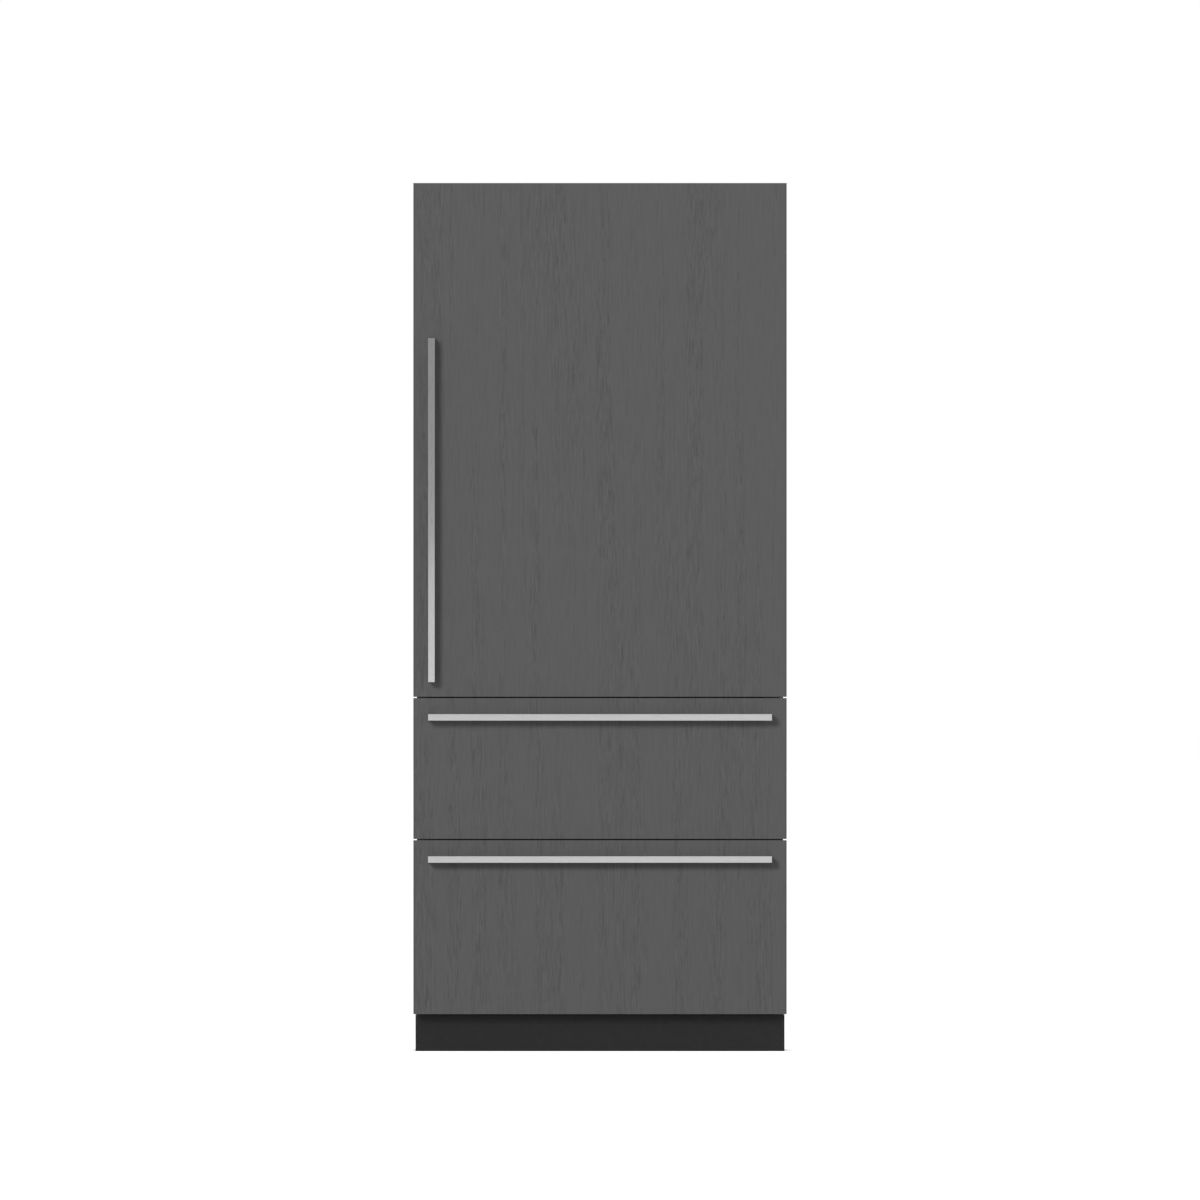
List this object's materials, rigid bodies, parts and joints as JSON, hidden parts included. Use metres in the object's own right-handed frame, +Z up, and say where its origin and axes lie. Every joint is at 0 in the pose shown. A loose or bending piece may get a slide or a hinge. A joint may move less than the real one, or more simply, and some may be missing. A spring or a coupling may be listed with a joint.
{
  "type": "bottom freezer refrigerator",
  "caption": "Tall built-in refrigerator with one right-hinged wood-grain door over freezer drawers, square bar handles and a black toe kick.",
  "frame": {"origin": "on the floor under the middle of the object's box", "axes": "+Z up, the front faces -Y, the door's hinge is on +X"},
  "size_m": [0.914, 0.679, 2.126],
  "materials": {
    "front_panel": "grey wood-grain laminate, satin",
    "bar_handle": "brushed stainless steel",
    "toe_kick": "black powder coat",
    "cabinet_sheet": "grey coated steel sheet",
    "zinc_sheet": "galvanised steel",
    "insulation": "foamed insulation, rough",
    "white_liner": "white moulded liner, semi-gloss",
    "dark_core": "dark coated steel",
    "frame_steel": "dark coated steel",
    "gasket_rubber": "soft dark grey seal",
    "hinge_steel": "zinc-plated steel",
    "bearing_nylon": "natural nylon",
    "bin_clear": "clear moulded plastic",
    "shelf_glass": "tempered glass",
    "shelf_steel": "silver coated steel",
    "duct_plastic": "light grey moulded plastic",
    "lamp_diffuser": "frosted diffuser",
    "control_glass": "black touch panel",
    "black_metal": "black painted steel",
    "coil_aluminium": "plain aluminium",
    "copper_line": "copper tube",
    "dark_plastic": "black moulded plastic",
    "ice_plastic": "grey moulded plastic",
    "tub_plastic": "translucent white plastic"
  },
  "bodies": {
    "cabinet": {"outer_panels": "cabinet_sheet", "back_panel": "zinc_sheet", "machine_cover": "zinc_sheet", "insulation_foam": "insulation", "fridge_liner": "white_liner", "freezer_liner": "white_liner", "front_frame": "frame_steel", "base_pan": "zinc_sheet", "kickplate": "toe_kick", "levelling_legs": "hinge_steel", "hinge_brackets": "hinge_steel", "anti_tip_brackets": "zinc_sheet", "compressor": "black_metal", "condenser": "coil_aluminium", "fan_housings": "dark_plastic", "drain_pan": "dark_plastic", "refrigerant_lines": "copper_line", "evaporators": "coil_aluminium", "fridge_duct": "duct_plastic", "freezer_duct": "duct_plastic", "control_panel": "control_glass", "light_bars": "lamp_diffuser", "shelf_tracks": "shelf_steel", "shelf_frames": "shelf_steel", "shelf_glass": "shelf_glass", "crisper_frame": "duct_plastic", "slide_outer_members": "hinge_steel", "ice_maker": "ice_plastic", "water_valve": "ice_plastic", "power_inlet": "dark_plastic"},
    "fridge_door": {"door_panel": "front_panel", "door_shell": "dark_core", "door_liner": "white_liner", "door_gasket": "gasket_rubber", "door_handle": "bar_handle", "hinge_bearings": "bearing_nylon", "door_bins": "bin_clear"},
    "dairy_lid": {"dairy_lid": "bin_clear"},
    "upper_drawer": {"upper_drawer_panel": "front_panel", "upper_drawer_core": "dark_core", "upper_drawer_gasket": "gasket_rubber", "upper_drawer_handle": "bar_handle", "upper_drawer_frame": "shelf_steel", "upper_drawer_tub": "tub_plastic"},
    "upper_slides": {"upper_slide_middle": "hinge_steel"},
    "lower_drawer": {"lower_drawer_panel": "front_panel", "lower_drawer_core": "dark_core", "lower_drawer_gasket": "gasket_rubber", "lower_drawer_handle": "bar_handle", "lower_drawer_frame": "shelf_steel", "lower_drawer_tub": "tub_plastic"},
    "lower_slides": {"lower_slide_middle": "hinge_steel"},
    "drawer_tray": {"drawer_tray": "tub_plastic"},
    "crisper_left": {"crisper_left": "bin_clear"},
    "crisper_right": {"crisper_right": "bin_clear"},
    "condenser_fan": {"condenser_fan": "dark_plastic"},
    "fridge_fan": {"fridge_fan": "dark_plastic"},
    "freezer_fan": {"freezer_fan": "dark_plastic"},
    "ice_ejector": {"ice_ejector": "ice_plastic"},
    "ice_feeler_arm": {"ice_feeler_arm": "ice_plastic"}
  },
  "joints": [
    {"name": "door_hinge", "type": "hinge", "parent": "cabinet", "child": "fridge_door", "pos_m": [0.433, -0.252, 1.49725], "axis": [0, 0, 1], "range_deg": [0, 105]},
    {"name": "dairy_lid_hinge", "type": "hinge", "parent": "fridge_door", "child": "dairy_lid", "pos_m": [0, -0.2165, 1.7988], "axis": [1, 0, 0], "range_deg": [0, 90]},
    {"name": "upper_drawer_slide", "type": "slide", "parent": "cabinet", "child": "upper_drawer", "axis": [0, -1, 0], "range_m": [0, 0.4]},
    {"name": "upper_slide_middle_travel", "type": "slide", "parent": "cabinet", "child": "upper_slides", "axis": [0, -1, 0], "range_m": [0, 0.2]},
    {"name": "lower_drawer_slide", "type": "slide", "parent": "cabinet", "child": "lower_drawer", "axis": [0, -1, 0], "range_m": [0, 0.4]},
    {"name": "lower_slide_middle_travel", "type": "slide", "parent": "cabinet", "child": "lower_slides", "axis": [0, -1, 0], "range_m": [0, 0.2]},
    {"name": "drawer_tray_slide", "type": "slide", "parent": "lower_drawer", "child": "drawer_tray", "axis": [0, 1, 0], "range_m": [0, 0.17]},
    {"name": "crisper_left_slide", "type": "slide", "parent": "cabinet", "child": "crisper_left", "axis": [0, -1, 0], "range_m": [0, 0.075]},
    {"name": "crisper_right_slide", "type": "slide", "parent": "cabinet", "child": "crisper_right", "axis": [0, -1, 0], "range_m": [0, 0.075]},
    {"name": "condenser_fan_spin", "type": "hinge", "parent": "cabinet", "child": "condenser_fan", "pos_m": [0.03, 0.2315, 0.142], "axis": [-1, 0, 0], "continuous": true},
    {"name": "fridge_fan_spin", "type": "hinge", "parent": "cabinet", "child": "fridge_fan", "pos_m": [0, 0.2662, 1.208], "axis": [0, -1, 0], "continuous": true},
    {"name": "freezer_fan_spin", "type": "hinge", "parent": "cabinet", "child": "freezer_fan", "pos_m": [0, 0.2662, 0.653], "axis": [0, -1, 0], "continuous": true},
    {"name": "ice_ejector_turn", "type": "hinge", "parent": "cabinet", "child": "ice_ejector", "pos_m": [-0.346, -0.05, 0.776], "axis": [0, 1, 0], "continuous": true},
    {"name": "ice_feeler_swing", "type": "hinge", "parent": "cabinet", "child": "ice_feeler_arm", "pos_m": [-0.294, -0.15, 0.764], "axis": [0, -1, 0], "range_deg": [0, 35]}
  ],
  "couplings": [
    {"joint": "upper_slide_middle_travel", "follows": "upper_drawer_slide", "ratio": 0.5},
    {"joint": "lower_slide_middle_travel", "follows": "lower_drawer_slide", "ratio": 0.5}
  ]
}
